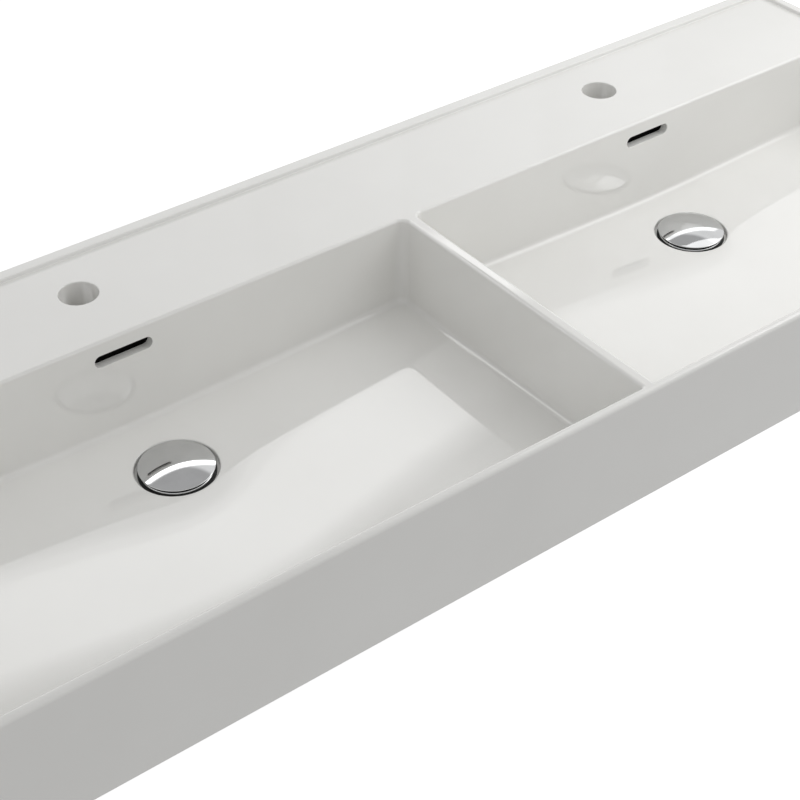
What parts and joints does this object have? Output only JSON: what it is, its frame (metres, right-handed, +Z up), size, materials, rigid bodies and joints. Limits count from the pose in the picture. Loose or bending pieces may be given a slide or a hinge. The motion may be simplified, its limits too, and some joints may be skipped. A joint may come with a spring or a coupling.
{
  "type": "double washbasin",
  "caption": "Wide wall-hung rectangular washbasin with side-by-side bowls, a thin divider, a flat tap deck with a raised lip, overflow slots and push-to-open drain covers.",
  "frame": {"origin": "middle of the wall fixing holes, on the rear wall face, 65 mm above the underside of the casting", "axes": "+Z up, +Y into the wall, +X to the right of someone facing the basin; the front looks towards -Y"},
  "size_m": [1.2, 0.46, 0.168],
  "materials": {
    "glaze": "glossy white glaze",
    "chrome": "polished chrome plate on brass",
    "brass": "turned, uncoated",
    "rubber": "matte black",
    "plastic": "moulded",
    "steel": "drawn"
  },
  "bodies": {
    "basin": {"ceramic_basin": "glaze", "left_cartridge_body": "plastic", "left_cartridge_spring": "steel", "left_retaining_pin": "steel", "left_cartridge_locknut": "brass", "left_waste_body": "chrome", "left_flange_gasket": "rubber", "left_lower_gasket": "rubber", "left_slip_washer": "steel", "left_back_nut": "brass", "right_cartridge_body": "plastic", "right_cartridge_spring": "steel", "right_retaining_pin": "steel", "right_cartridge_locknut": "brass", "right_waste_body": "chrome", "right_flange_gasket": "rubber", "right_lower_gasket": "rubber", "right_slip_washer": "steel", "right_back_nut": "brass"},
    "left_cover": {"left_drain_cover": "chrome", "left_cover_seal": "rubber", "left_plunger_stem": "brass"},
    "right_cover": {"right_drain_cover": "chrome", "right_cover_seal": "rubber", "right_plunger_stem": "brass"}
  },
  "joints": [
    {"name": "left_cover_push", "type": "slide", "parent": "basin", "child": "left_cover", "axis": [0, 0, 1], "range_m": [0, 0.008], "deforming": ["left_cartridge_spring"]},
    {"name": "right_cover_push", "type": "slide", "parent": "basin", "child": "right_cover", "axis": [0, 0, 1], "range_m": [0, 0.008], "deforming": ["right_cartridge_spring"]}
  ]
}
